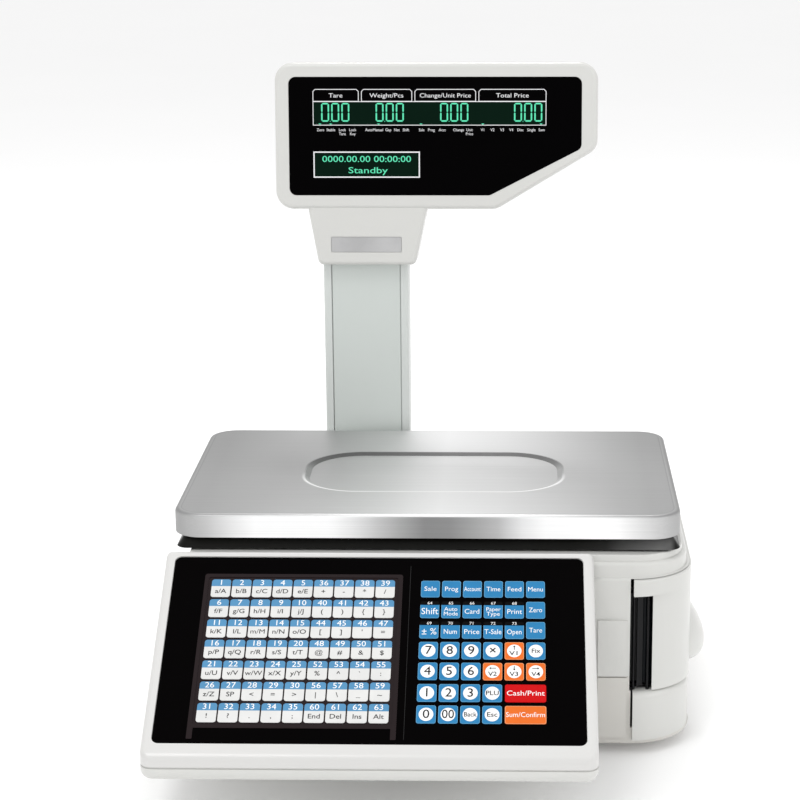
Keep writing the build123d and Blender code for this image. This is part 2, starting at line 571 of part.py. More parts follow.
# binocular cut-out of a single point cell
cell -= rod_y(-11, LC_Z0 + 12, 100, 140, 8.4) + rod_y(13, LC_Z0 + 12, 100, 140, 8.4)
cell -= block(-11, 13, 100, 140, LC_Z0 + 7.5, LC_Z0 + 16.5)
for sx in (-58, -40):
    for sy in (113, 129):
        cell -= rod(sx, sy, 95, LC_Z0 + 14, 2.55)
for sx in (42, 60):
    for sy in (113, 129):
        cell -= rod(sx, sy, LC_Z0 + 10, 130, 2.55)
save("load_cell", cell)
spb = block(-64, -34, lc_y0, lc_y1, 98, LC_Z0)
spt = block(36, 66, lc_y0, lc_y1, LC_Z0 + 24, LC_Z0 + 27)
for sx in (-58, -40):
    for sy in (113, 129):
        spb -= rod(sx, sy, 95, 105, 2.6)
for sx in (42, 60):
    for sy in (113, 129):
        spt -= rod(sx, sy, 120, 130, 2.6)
save("load_cell_spacers", [spb, spt])
# spider: post through the housing top, four arms under the carrier
spi = block(12, 54 + 12, lc_y0, lc_y1, 128, 132)
spi = block(34, 66, lc_y0, lc_y1, 128, 133)
spi += block(8, 58, 97, 145, 133, 137) + block(34, 58, lc_y0, lc_y1, 128, 137)
spi += block(12, 54, 101, 141, 137, 162) - block(16, 50, 95, 150, 137, 158)
for sx in (-1, 1):
    for sy in (-1, 1):
        a = math.degrees(math.atan2(sy * 88, sx * 150))
        L = math.hypot(128, 84)
        cx, cy = PLATTER_CX + sx * 64, PLATTER_CY + sy * 42
        spi += Pos(cx, cy, 165) * Rot(0, 0, math.degrees(math.atan2(sy * 84, sx * 128))) * Box(L + 10, 16, 6)
        spi += rod(PLATTER_CX + sx * 128, PLATTER_CY + sy * 84, 162, 170, 12)
spi += block(8, 58, 97, 145, 162, 168)
for sx in (42, 60):
    for sy in (113, 129):
        spi -= rod(sx, sy, 120, 134, 2.6)
save("platter_spider", spi)
sc = []
for sx in (-58, -40):
    for sy in (113, 129):
        sc.append(rod(sx, sy, 94, LC_Z0 + 12, 2.5) + rod(sx, sy, 90.5, 94, 3.9))
for sx in (42,):
    for sy in (113, 129):
        sc.append(rod(sx, sy, LC_Z0 + 12, 132.9, 2.5))
for sx in (60,):
    for sy in (113, 129):
        sc.append(rod(sx, sy, LC_Z0 + 12, 132.9, 2.5))
BOLTS += sc

# platter carrier: a dished black moulding whose skirt flares under the lip
ca_b = rect(-188.2, 1.8, 190.4, 240.6, 9)
ca_t = rect(-181.4, 7.8, 183.4, 234.5, 7)
carrier = loft([Pos(0, 0, 159.3) * ca_b, Pos(0, 0, 169.5) * ca_t])
carrier += prism(ca_t, 169.5, 178.0)
carrier = soften(carrier, carrier.edges().group_by(Axis.Z)[-1], [2.0, 1.0])
cin = rect(-178.0, 11.2, 180.0, 231.1, 5)
carrier -= prism(cin, 158, 170.0)
# ribbed underside down to the spider
for sx in (-1, 1):
    for sy in (-1, 1):
        carrier -= rod(PLATTER_CX + sx * 150, PLATTER_CY + sy * 88, 174.5, 180, 8.05)
carrier -= rod(PLATTER_CX, PLATTER_CY, 176, 180, 20)
save("platter_carrier", carrier)
save("platter_buttons", [rod(PLATTER_CX + sx * 150, PLATTER_CY + sy * 88, 174.5,
                             PLATTER_TOP - PLATTER_T, 8.0)
                         for sx in (-1, 1) for sy in (-1, 1)])

# ================================================================== platter
px0, px1 = PLATTER_CX - PLATTER_W / 2, PLATTER_CX + PLATTER_W / 2
px0 -= 1.5                 # the left flange is a little the wider
pan = prism(rect(px0, 0, px1, PLATTER_D, PLATTER_R), PLATTER_LIP, PLATTER_TOP)
pan = soften(pan, pan.edges().group_by(Axis.Z)[-1], [3.0, 2.0])
pin = prism(rect(px0 + PLATTER_T, PLATTER_T, px1 - PLATTER_T, PLATTER_D - PLATTER_T,
                 PLATTER_R - PLATTER_T), PLATTER_LIP - 1, PLATTER_TOP - PLATTER_T)
pin = soften(pin, pin.edges().group_by(Axis.Z)[-1], [1.8, 1.0])
pan -= pin
# pressed shallow depression
dep = rect(-100.0, 62.0, 104.0, 172.5, 44)
depth = 2.0
pan += prism(rect(-98.6, 63.4, 102.6, 171.1, 42.6), PLATTER_TOP - depth - PLATTER_T, PLATTER_TOP - PLATTER_T + 0.1)
d2 = loft([Pos(0, 0, PLATTER_TOP - depth) * rect(-96.0, 66.0, 100.0, 168.5, 40),
           Pos(0, 0, PLATTER_TOP) * rect(-100.0, 62.0, 104.0, 172.5, 44)])
pan -= d2
save("platter", pan)

# ======================================================== electronics, rear
mb = block(-174, -92, 50, 180, 18, 19.6)
for px, py in BOARD_POSTS:
    mb -= rod(px, py, 16, 21, 1.6)
mb += block(-160, -130, 80, 110, 19.6, 22) + block(-120, -104, 120, 160, 19.6, 31)
mb += block(-172, -164, 90, 140, 19.6, 28)
for cx, cy in ((-112, 80), (-112, 96), (-150, 150)):
    mb += rod(cx, cy, 19.6, 33, 5)
save("main_board", mb)
SMALL_SCREWS += [rod(px, py, 19.6, 21.6, 2.8) + rod(px, py, 18.0, 19.7, 1.5)
                 for px, py in BOARD_POSTS]
ps = block(-168, -58, 186, 232, 11, 40)
ps = soften(ps, ps.edges().group_by(Axis.Z)[-1], [1.0])
for i in range(10):
    ps -= block(-156 + i * 9, -152 + i * 9, 191, 227, 38.6, 41)
save("power_supply", ps)
inl = block(-163.5, -136.5, 268, 291.2, 22.4, 42.0)
inl += block(-165.5, -134.5, 288.0, 289.0, 21.0, 43.5)
inl -= block(-161.0, -139.0, 273, 293, 25.0, 39.5)
inl += rod_y(-150, 29.0, 273, 287, 1.6) + rod_y(-156, 34.5, 273, 287, 1.6) + rod_y(-144, 34.5, 273, 287, 1.6)
# rocker switch: bezel fixed in the wall, rocker on a hidden pivot
bezel = block(-129.3, -110.7, 276, 291.6, 25.7, 38.3)
bezel += block(-130.5, -109.5, 287.9, 289.0, 24.6, 39.4)
bezel -= block(-127.4, -112.6, 279, 294, 27.2, 36.8)
bezel += rod_y(-120, 32.0, 276, 281, 1.0)
save("power_inlet", [inl, bezel])
rk = side_profile([(283.0, 28.3), (290.0, 28.3), (289.0, 32.0), (291.2, 35.7), (283.0, 35.7)],
                  [0.6, 0.8, 0, 0.8, 0.6], -127.1, -112.9)
save("power_rocker", rk)
pp = block(-89.3, 20.3, 287.6, 290.6, 18.7, 48.3)
SOCK = [(-78, 16.5, 13.5), (-54, 16.5, 13.5), (-31, 13.5, 6.5), (-13, 13.5, 6.5)]
socks = []
for cx, w, h in SOCK:
    pp -= block(cx - w / 2, cx + w / 2, 280, 295, 33 - h / 2, 33 + h / 2)
    s = block(cx - w / 2 + 0.05, cx + w / 2 - 0.05, 272, 290.4, 33 - h / 2 + 0.05, 33 + h / 2 - 0.05)
    s -= block(cx - w / 2 + 1.2, cx + w / 2 - 1.2, 276, 295, 33 - h / 2 + 1.2, 33 + h / 2 - 1.2)
    s += block(cx - w / 2 + 2.4, cx + w / 2 - 2.4, 274, 288, 33 + h / 2 - 3.0, 33 + h / 2 - 2.0)
    socks.append(s)
pp -= rod_y(8, 33, 280, 295, 5.05)
bar = rod_y(8, 33, 272, 290.4, 5.0) - rod_y(8, 33, 276, 295, 3.6)
bar += rod_y(8, 33, 275, 286, 1.0)
socks.append(bar)
save("port_plate", pp)
save("port_sockets", socks)
lev = rod(104, 268, TOP_Z - 6, TOP_Z + 0.4, 8.0)
lev -= rod(104, 268, TOP_Z - 3.6, TOP_Z + 1, 6.6)
save("spirit_level_body", lev)
save("spirit_level_vial", rod(104, 268, TOP_Z - 3.6, TOP_Z + 0.2, 6.55))

# ==================================================================== feet
for k, (fx, fy) in enumerate(FEET, 1):
    foot = rod(fx, fy, 0, 5.0, 14.0)
    foot = soften(foot, foot.edges().group_by(Axis.Z)[-1], [2.0])
    foot = soften(foot, foot.edges().group_by(Axis.Z)[0], [1.0])
    foot += rod(fx, fy, 4.5, BODY_Z0, 7.0) + rod(fx, fy, 5, 22, 3.0)
    save("levelling_foot_%d" % k, foot)

# ================================================================ housing screws
TAPPING_SCREWS += [rod(px, py, 10.5, 14.0, 3.4) + rod(px, py, 13.9, SEAM_Z + 10, 1.38)
                   for px, py in HOUSING_POSTS]

# ==================================================================== pole
x0, x1 = POLE_CX - POLE_W / 2, POLE_CX + POLE_W / 2
y0, y1 = POLE_Y0, POLE_Y0 + POLE_D
pole = prism(rect(x0, y0, x1, y1, 2.6), POLE_Z0, POLE_Z1)
pole -= prism(rect(x0 + 9.5, y0 + 4.6, x1 - 9.5, y1 - 2.4, 2), POLE_Z0 - 1, POLE_Z1 + 1)
pole -= prism(rect(x0 + 2.6, y0 + 2.6, x0 + 7.0, y1 - 2.4, 1), POLE_Z0 - 1, POLE_Z1 + 1)
pole -= prism(rect(x1 - 7.0, y0 + 2.6, x1 - 2.6, y1 - 2.4, 1), POLE_Z0 - 1, POLE_Z1 + 1)
# shallow channel that takes the front strip, with a shadow groove each side
pole -= prism(rect(x0 + 6.4, y0 - 1, x1 - 6.4, y0 + 1.6, 0), POLE_Z0 - 1, POLE_Z1 + 1)
pole -= prism(rect(x0 + 6.4, y0, x0 + 7.4, y0 + 2.2, 0), POLE_Z0 - 1, POLE_Z1 + 1)
save("pole", pole)
save("pole_strip", prism(rect(x0 + 7.2, y0 + 0.4, x1 - 7.2, y0 + 1.6, 0.3), 150.0, POLE_Z1))
# seat on the tray: a folded steel bracket that the pole is bolted to
pb = block(x0 - 3, x1 + 3, y0 - 3, y1 + 3, 57, 60)
pb += block(x0 - 3, x0, y0 - 3, y1 + 3, 60, 110) + block(x1, x1 + 3, y0 - 3, y1 + 3, 60, 110)
pb += block(x0 - 3, x0, y0 - 3, y1 + 3, 11, 57) + block(x1, x1 + 3, y0 - 3, y1 + 3, 11, 57)
pb -= block(x0 + 12, x1 - 12, y0 + 6, y1 - 4, 50, 62)
for z in (75, 98):
    pb -= rod_x((y0 + y1) / 2, z, x0 - 5, x1 + 5, 2.2)
save("pole_bracket", pb)
ps2 = []
for z in (75, 98):
    ps2.append(rod_x((y0 + y1) / 2, z, x0 - 6, x0 - 3, 3.8) + rod_x((y0 + y1) / 2, z, x0 - 3.1, x0, 2.1))
    ps2.append(rod_x((y0 + y1) / 2, z, x1 + 3, x1 + 6, 3.8) + rod_x((y0 + y1) / 2, z, x1, x1 + 3.1, 2.1))
BOLTS += ps2

# ============================================================= display head
HEAD = [(-132.8, -0.4), (50.6, -0.4), (133.8, 49.6), (133.8, 120.2), (-132.8, 120.2)]
HR = [15, 14, 13, 15, 15]
LENS = [(-121.2, 11.2), (44.8, 11.2), (120.4, 56.5 - 6.6), (120.4, 108.4), (-121.2, 108.4)]
LR = [6, 6, 6, 6, 6]


def grown(points, d):
    """The outline brought in by d, corner by corner."""
    n = len(points)
    out = []
    for i in range(n):
        a, p, b = points[i - 1], points[i], points[(i + 1) % n]
        def nrm(q, r):
            dx, dy = r[0] - q[0], r[1] - q[1]
            l = math.hypot(dx, dy)
            return (-dy / l, dx / l)
        n1, n2 = nrm(a, p), nrm(p, b)
        k = 1 + n1[0] * n2[0] + n1[1] * n2[1]
        out.append((p[0] + d * (n1[0] + n2[0]) / k, p[1] + d * (n1[1] + n2[1]) / k))
    return out


NECK = [(-97.8, -47.0), (-17.0, -47.0), (-6.6, 4.0), (-107.0, 4.0)]
D = HEAD_DEPTH
H2 = D / 2


def head_outer(w0, w1):
    h = prism(outline(HEAD, HR), w0, w1)
    return h


front = head_outer(-H2, 0)
front = soften(front, front.edges().group_by(Axis.Z)[-1], [4.0, 3.0])
rear = head_outer(-D, -H2)
rear = soften(rear, rear.edges().group_by(Axis.Z)[0], [4.0, 3.0])
nf = prism(outline(NECK, [5, 5, 0, 0]), -H2, -1.2)
nf = soften(nf, [e for e in nf.edges().group_by(Axis.Z)[-1] if e.center().Y < 2], [3.5, 2.5])
nr = prism(outline(NECK, [5, 5, 0, 0]), -D, -H2)
nr = soften(nr, [e for e in nr.edges().group_by(Axis.Z)[0] if e.center().Y < 2], [3.0, 2.0])
front += nf
rear += nr
cav = grown(HEAD, 3.0)
cavr = [12, 11, 10, 12, 12]
front -= prism(outline(cav, cavr), -H2 - 1, -4.6)
rear -= prism(outline(cav, cavr), -D + 4.6, -H2 + 1)
# lens seats
front -= prism(outline(grown(LENS, -0.15), LR), -1.6, 5)
rear -= prism(outline(grown(LENS, -0.15), LR), -D - 5, -D + 1.6)
front -= prism(outline(grown(LENS, 4.0), [3] * 5), -8, 5)
rear -= prism(outline(grown(LENS, 4.0), [3] * 5), -D - 5, -D + 8)
# badge recess on the neck
front -= prism(rect(-87.4, -36.4, -28.4, -23.4, 1.0), -2.2, 1)
front = FACE * front
rear = FACE * rear
# the pole runs up through the neck into the head
socket = prism(rect(x0, y0, x1, y1, 2.6), 300, POLE_Z1)
front -= socket
rear -= socket
wire = prism(rect(x0 + 8, y0 + 6, x1 - 8, y1 - 6, 2), POLE_Z1 - 1, 384)
front -= wire
rear -= wire
save("head_front_shell", front)
save("head_rear_shell", rear)
save("front_lens", FACE * prism(outline(LENS, LR), -1.6, -0.3))
save("rear_lens", FACE * prism(outline(LENS, LR), -D + 0.3, -D + 1.6))
save("neck_badge", FACE * prism(rect(-87.1, -36.1, -28.7, -23.7, 0.8), -2.2, -1.5))
db = grown(LENS, 6.0)
boards = [FACE * prism(outline(db, [2] * 5), -14.6, -13.0),
          FACE * prism(outline(db, [2] * 5), -D + 13.0, -D + 14.6)]
mods = []
for w0, w1 in ((-13.0, -8.4), (-D + 8.4, -D + 13.0)):
    mods.append(FACE * block(-101, 92, 66, 104, w0, w1))
mods.append(FACE * block(-103, -11, 24, 49, -13.0, -8.4))
save("display_boards", [boards[0] + mods[0] + mods[2], boards[1] + mods[1]])
SMALL_SCREWS += [FACE * rod(cx, cy, -16.4, -14.6, 2.8)
                 for cx, cy in ((-108, 24), (-108, 96), (106, 96), (30, 24))]

# ------------------------------------------------------- hardware, in groups
save("board_screws", SMALL_SCREWS)
save("housing_screws", TAPPING_SCREWS)
save("machine_bolts", BOLTS)
save("bearing_pins", PINS)
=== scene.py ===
import bpy, bmesh, math
from mathutils import Vector, Matrix


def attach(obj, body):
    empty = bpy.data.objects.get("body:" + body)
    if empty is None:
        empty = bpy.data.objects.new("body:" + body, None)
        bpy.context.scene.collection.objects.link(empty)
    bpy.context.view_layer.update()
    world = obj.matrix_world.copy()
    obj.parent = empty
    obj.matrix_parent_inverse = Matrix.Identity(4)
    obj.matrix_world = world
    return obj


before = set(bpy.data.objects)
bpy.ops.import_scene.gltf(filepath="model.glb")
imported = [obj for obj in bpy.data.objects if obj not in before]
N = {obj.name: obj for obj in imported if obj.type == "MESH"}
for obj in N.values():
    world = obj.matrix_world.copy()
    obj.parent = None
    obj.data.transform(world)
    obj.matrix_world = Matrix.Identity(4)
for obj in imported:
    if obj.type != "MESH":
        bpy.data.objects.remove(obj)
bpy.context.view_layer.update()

OX, OY = 10.97, 65.24            # CAD layout offsets, mm


def G(x, y, z):
    """Layout millimetres to row-frame metres."""
    return Vector(((x - OX) / 1000.0, (y - OY) / 1000.0, z / 1000.0))


# ------------------------------------------------------------------ materials
def new_mat(name):
    m = bpy.data.materials.new(name)
    m.use_nodes = True
    nt = m.node_tree
    b = nt.nodes["Principled BSDF"]
    return m, nt, b


def coords(nt, scale=(1, 1, 1)):
    tc = nt.nodes.new("ShaderNodeTexCoord")
    mp = nt.nodes.new("ShaderNodeMapping")
    mp.inputs["Scale"].default_value = scale
    nt.links.new(tc.outputs["Object"], mp.inputs["Vector"])
    return mp.outputs["Vector"]


def noise(nt, vec, scale, detail=3.0, rough=0.5):
    n = nt.nodes.new("ShaderNodeTexNoise")
    n.inputs["Scale"].default_value = scale
    n.inputs["Detail"].default_value = detail
    n.inputs["Roughness"].default_value = rough
    nt.links.new(vec, n.inputs["Vector"])
    return n.outputs["Fac"]


def ramp(nt, fac, stops):
    r = nt.nodes.new("ShaderNodeValToRGB")
    els = r.color_ramp.elements
    while len(els) < len(stops):
        els.new(0.5)
    for e, (p, c) in zip(els, stops):
        e.position = p
        e.color = (c[0], c[1], c[2], 1.0) if isinstance(c, (tuple, list)) else (c, c, c, 1.0)
    nt.links.new(fac, r.inputs["Fac"])
    return r.outputs["Color"]


def bump(nt, b, height, strength, dist):
    n = nt.nodes.new("ShaderNodeBump")
    n.inputs["Strength"].default_value = strength
    n.inputs["Distance"].default_value = dist
    nt.links.new(height, n.inputs["Height"])
    nt.links.new(n.outputs["Normal"], b.inputs["Normal"])
    return n


def shade(c, k):
    return tuple(min(1.0, x * k) for x in c)


def moulded(name, col, rough=0.42, grain=1400.0, grain_d=0.00004, var=0.012, coat=0.0, spec=0.5):
    """Injection moulded plastic: fine spark-eroded grain, faint cloudiness."""
    m, nt, b = new_mat(name)
    v = coords(nt)
    cloud = noise(nt, v, 9.0, 3.0)
    nt.links.new(ramp(nt, cloud, [(0.3, shade(col, 1 - var)), (0.7, shade(col, 1 + var * 0.4))]),
                 b.inputs["Base Color"])
    r = noise(nt, v, 60.0, 4.0)
    nt.links.new(ramp(nt, r, [(0.3, rough - 0.02), (0.75, rough + 0.03)]), b.inputs["Roughness"])
    g = noise(nt, v, grain, 2.0)
    bump(nt, b, g, 0.35, grain_d)
    b.inputs["Specular IOR Level"].default_value = spec
    b.inputs["Coat Weight"].default_value = coat
    b.inputs["Coat Roughness"].default_value = 0.12
    return m


def printed(name, col, rough=0.3, var=0.04, spec=0.4, emit=0.0):
    """Screen printed ink under a clear hard coat."""
    m, nt, b = new_mat(name)
    v = coords(nt)
    n1 = noise(nt, v, 45.0, 3.0)
    out = ramp(nt, n1, [(0.3, shade(col, 1 - var)), (0.7, shade(col, 1 + var))])
    nt.links.new(out, b.inputs["Base Color"])
    n2 = noise(nt, v, 700.0, 2.0)
    nt.links.new(ramp(nt, n2, [(0.3, rough - 0.04), (0.7, rough + 0.05)]), b.inputs["Roughness"])
    bump(nt, b, n2, 0.12, 0.00002)
    b.inputs["Specular IOR Level"].default_value = spec
    if emit:
        nt.links.new(out, b.inputs["Emission Color"])
        b.inputs["Emission Strength"].default_value = emit
    return m


def metal(name, col, rough=0.3, streak=(6, 900, 900), depth=0.00002, var=0.08, aniso=0.0, bands=None):
    m, nt, b = new_mat(name)
    b.inputs["Metallic"].default_value = 1.0
    v = coords(nt, streak)
    s = noise(nt, v, 1.0, 4.0, 0.65)
    c = ramp(nt, s, [(0.25, shade(col, 1 - var)), (0.75, shade(col, 1 + var))])
    if bands:
        sep = nt.nodes.new("ShaderNodeSeparateXYZ")
        tc = nt.nodes.new("ShaderNodeTexCoord")
        nt.links.new(tc.outputs["Object"], sep.inputs["Vector"])
        mr = nt.nodes.new("ShaderNodeMapRange")
        mr.inputs["From Min"].default_value = bands[0]
        mr.inputs["From Max"].default_value = bands[1]
        nt.links.new(sep.outputs["X"], mr.inputs["Value"])
        bc = ramp(nt, mr.outputs["Result"], bands[2])
        mx = nt.nodes.new("ShaderNodeMix")
        mx.data_type = "RGBA"
        mx.blend_type = "MULTIPLY"
        mx.inputs["Factor"].default_value = 1.0
        nt.links.new(c, mx.inputs["A"])
        nt.links.new(bc, mx.inputs["B"])
        c = mx.outputs["Result"]
    nt.links.new(c, b.inputs["Base Color"])
    nt.links.new(ramp(nt, s, [(0.2, rough - 0.07), (0.8, rough + 0.1)]), b.inputs["Roughness"])
    bump(nt, b, s, 0.25, depth)
    b.inputs["Anisotropic"].default_value = aniso
    return m


SHELL = (0.635, 0.635, 0.612)
M = {}
M["shell"] = moulded("shell_plastic", SHELL, 0.30, coat=0.15)
M["shell_low"] = moulded("lower_shell_plastic", (0.62, 0.605, 0.57), 0.36, coat=0.1)
M["console"] = moulded("console_plastic", (0.65, 0.645, 0.632), 0.30, coat=0.15)
M["black"] = moulded("black_plastic", (0.012, 0.012, 0.013), 0.36, spec=0.4)
M["carrier"] = moulded("carrier_plastic", (0.006, 0.006, 0.005), 0.30, grain=600, spec=0.10)
M["frame_black"] = moulded("printer_frame_plastic", (0.003, 0.003, 0.004), 0.28, grain=500, spec=0.12)
M["film"] = printed("film_black", (0.0010, 0.0007, 0.0008), 0.22, spec=0.015)
M["legend_brown"] = printed("frame_brown", (0.016, 0.010, 0.011), 0.4, spec=0.08)
M["white_key"] = printed("key_white", (0.70, 0.70, 0.69), 0.32, spec=0.3)
M["band_blue"] = printed("key_band_blue", (0.085, 0.265, 0.47), 0.32, spec=0.2)
M["blue"] = printed("key_blue", (0.022, 0.20, 0.43), 0.32, spec=0.15)
M["orange"] = printed("key_orange", (0.75, 0.15, 0.018), 0.32, spec=0.15)
M["red"] = printed("key_red", (0.56, 0.0, 0.002), 0.32, spec=0.12)
M["ink_black"] = printed("ink_black", (0.004, 0.004, 0.005), 0.4, spec=0.1)
M["ink_white"] = printed("ink_white", (0.90, 0.90, 0.90), 0.4)
M["ink_grey"] = printed("ink_grey", (0.02, 0.02, 0.02), 0.4, spec=0.1)
M["strip_black"] = printed("key_strip_black", (0.0012, 0.001, 0.001), 0.3, spec=0.05)
M["edge_blue"] = printed("key_edge_blue", (0.16, 0.40, 0.60), 0.3, spec=0.2)
M["edge_orange"] = printed("key_edge_orange", (0.85, 0.42, 0.22), 0.3, spec=0.2)
M["gloss_black"] = moulded("gloss_black_plastic", (0.004, 0.004, 0.005), 0.20, grain=500, spec=0.22)


def platter_steel():
    """Stainless sheet brushed from side to side, with painted reflections: slow light and dark bands painted across the
    top and along the rolled lip, and painted shade and highlights at the pressed depression and round the top."""
    m, nt, b = new_mat("platter_stainless")
    b.inputs["Metallic"].default_value = 1.0
    v = coords(nt, (5, 1100, 1100))
    s = noise(nt, v, 1.0, 4.0, 0.65)
    v2 = coords(nt, (14, 2600, 2600))
    s2 = noise(nt, v2, 1.0, 2.0, 0.5)
    fine = ramp(nt, s, [(0.25, 0.94), (0.75, 1.04)])
    tc = nt.nodes.new("ShaderNodeTexCoord")
    sep = nt.nodes.new("ShaderNodeSeparateXYZ")
    nt.links.new(tc.outputs["Object"], sep.inputs["Vector"])

    def span(out, lo, hi):
        mr = nt.nodes.new("ShaderNodeMapRange")
        mr.inputs["From Min"].default_value = lo
        mr.inputs["From Max"].default_value = hi
        nt.links.new(out, mr.inputs["Value"])
        return mr.outputs["Result"]

    def mix(fac, a_, b_, kind="MIX"):
        mx = nt.nodes.new("ShaderNodeMix")
        mx.data_type = "RGBA"
        mx.blend_type = kind
        if isinstance(fac, float):
            mx.inputs["Factor"].default_value = fac
        else:
            nt.links.new(fac, mx.inputs["Factor"])
        for sock, val in (("A", a_), ("B", b_)):
            if isinstance(val, float):
                mx.inputs[sock].default_value = (val, val, val, 1.0)
            else:
                nt.links.new(val, mx.inputs[sock])
        return mx.outputs["Result"]

    # painted reflection: the light and dark bands across the top and along the lip are drawn into the colour by
    # position
    px = span(sep.outputs["X"], -0.2015, 0.1800)
    TOP_REFLECTION_GAIN, LIP_REFLECTION_GAIN = 1.14, 1.06
    top = ramp(nt, px, [(p, min(1.0, TOP_REFLECTION_GAIN * c ** 1.4)) for p, c in (
        (0.0, 0.40), (0.051, 0.402), (0.11, 0.44), (0.17, 0.479), (0.29, 0.578), (0.35, 0.658), (0.41, 0.723), (0.466, 0.776),
        (0.526, 0.807), (0.586, 0.768), (0.645, 0.730), (0.704, 0.672), (0.763, 0.610), (0.823, 0.539), (0.88, 0.473),
        (0.942, 0.418), (1.0, 0.40))])
    lip = ramp(nt, px, [(p, min(1.0, c * LIP_REFLECTION_GAIN)) for p, c in (
        (0.0, 0.30), (0.022, 0.366), (0.069, 0.533), (0.117, 0.76), (0.164, 0.956), (0.26, 1.0), (0.307, 0.97), (0.354, 0.776),
        (0.402, 0.558), (0.45, 0.381), (0.497, 0.245), (0.545, 0.26), (0.592, 0.36), (0.64, 0.479), (0.687, 0.776),
        (0.735, 0.956), (0.782, 1.0), (0.83, 1.0), (0.877, 0.87), (0.925, 0.651), (0.972, 0.456), (1.0, 0.36))])
    geo = nt.nodes.new("ShaderNodeNewGeometry")
    gs = nt.nodes.new("ShaderNodeSeparateXYZ")
    nt.links.new(geo.outputs["Normal"], gs.inputs["Vector"])
    side = ramp(nt, gs.outputs["Z"], [(0.35, 1.0), (0.75, 0.0)])
    base = mix(side, top, lip)
    # the pressed depression: painted shade on its back wall and a painted highlight on its front wall, chosen by the
    # way each wall faces
    py = span(sep.outputs["Y"], -0.010, -0.001)
    py2 = span(sep.outputs["Y"], 0.112, 0.109)
    px0 = span(sep.outputs["X"], -0.1135, -0.111)
    px1 = span(sep.outputs["X"], 0.096, 0.0935)
    inside = mix(1.0, mix(1.0, py, py2, "MULTIPLY"), mix(1.0, px0, px1, "MULTIPLY"), "MULTIPLY")
    wall = span(gs.outputs["Z"], 0.995, 0.93)
    wall_in = mix(1.0, inside, wall, "MULTIPLY")
    wall_painted_light = ramp(nt, span(gs.outputs["Y"], -0.45, 0.45), [(0.0, 0.24), (0.3, 0.42), (0.5, 0.82), (0.65, 1.2), (1.0, 1.5)])
    base = mix(1.0, base, mix(wall_in, 1.0, wall_painted_light), "MULTIPLY")
    # painted highlight: a bright line drawn where the front edge of the depression turns over
    def vmath(op, a_, b_=None):
        n = nt.nodes.new("ShaderNodeVectorMath")
        n.operation = op
        nt.links.new(a_, n.inputs[0])
        if b_ is not None:
            n.inputs[1].default_value = b_
        return n.outputs["Value" if op == "LENGTH" else "Vector"]

    q = vmath("MULTIPLY", tc.outputs["Object"], (1, 1, 0))
    q = vmath("SUBTRACT", q, (-0.00897, 0.05201, 0))
    q = vmath("SUBTRACT", vmath("ABSOLUTE", q), (0.058, 0.01125, 0))
    d = vmath("LENGTH", vmath("MAXIMUM", q, (0, 0, 0)))
    line = ramp(nt, span(d, 0.0430, 0.0466), [(0.0, 0.0), (0.25, 1.0), (0.55, 1.0), (1.0, 0.0)])
    front = mix(1.0, line, span(sep.outputs["Y"], 0.050, 0.020), "MULTIPLY")
    base = mix(front, base, 1.0)
    # painted shade: a dark line drawn along the back rim of the depression
    rim_painted_shade = ramp(nt, span(d, 0.0436, 0.0456), [(0.0, 0.0), (0.3, 0.6), (0.6, 0.6), (1.0, 0.0)])
    base = mix(mix(1.0, rim_painted_shade, span(sep.outputs["Y"], 0.040, 0.070), "MULTIPLY"), base, 0.16)
    # painted shade and painted highlight along the bend line that runs round the top, just inside the rolled edge
    q2 = vmath("MULTIPLY", tc.outputs["Object"], (1, 1, 0))
    q2 = vmath("SUBTRACT", q2, (-0.01075, 0.05591, 0))
    q2 = vmath("SUBTRACT", vmath("ABSOLUTE", q2), (0.16875, 0.09915, 0))
    d3 = vmath("LENGTH", vmath("MAXIMUM", q2, (0, 0, 0)))
    bend = ramp(nt, span(d3, 0.0165, 0.0185), [(0.0, 1.0), (0.35, 0.84), (0.5, 0.80), (0.62, 1.0), (0.8, 1.10), (1.0, 1.0)])
    base = mix(1.0, base, mix(side, bend, 1.0), "MULTIPLY")
    base = mix(1.0, base, fine, "MULTIPLY")
    nt.links.new(base, b.inputs["Base Color"])
    nt.links.new(ramp(nt, side, [(0.0, 0.88), (1.0, 0.45)]), b.inputs["Metallic"])
    nt.links.new(ramp(nt, s2, [(0.2, 0.40), (0.8, 0.52)]), b.inputs["Roughness"])
    bump(nt, b, s2, 0.25, 0.00002)
    b.inputs["Anisotropic"].default_value = 0.3
    return m


M["steel_top"] = platter_steel()
M["steel"] = metal("plated_steel", (0.60, 0.60, 0.60), 0.28, (400, 400, 25), 0.00002, 0.05)
M["chassis"] = moulded("chassis_coat", (0.10, 0.105, 0.11), 0.5, 900, 0.00008)
M["alu"] = metal("cast_aluminium", (0.66, 0.67, 0.68), 0.42, (300, 300, 300), 0.00005, 0.08)
M["pole"] = moulded("pole_coat", (0.635, 0.665, 0.645), 0.36, 1100, 0.00003)
M["pole_strip"] = moulded("pole_strip_coat", (0.60, 0.64, 0.615), 0.36, 1100, 0.00003)
M["rubber"] = moulded("black_rubber", (0.018, 0.018, 0.018), 0.68, 500, 0.00012)
M["platen"] = moulded("platen_rubber", (0.004, 0.007, 0.010), 0.30, 300, 0.00002, spec=0.18)
M["pcb"] = printed("solder_mask", (0.012, 0.11, 0.04), 0.35)
M["lens"] = printed("smoked_lens", (0.0010, 0.0008, 0.0010), 0.10, spec=0.012)
M["badge"] = printed("badge_plate", (0.46, 0.46, 0.463), 0.4, var=0.08)
M["window"] = printed("display_glass", (0.0018, 0.009, 0.005), 0.2, spec=0.02, emit=0.22)
M["led"] = printed("display_green", (0.07, 0.46, 0.27), 0.3, spec=0.1, emit=0.72)
M["line"] = printed("display_white", (0.80, 0.80, 0.82), 0.35)
M["vial"] = printed("vial_green", (0.35, 0.6, 0.12), 0.1)



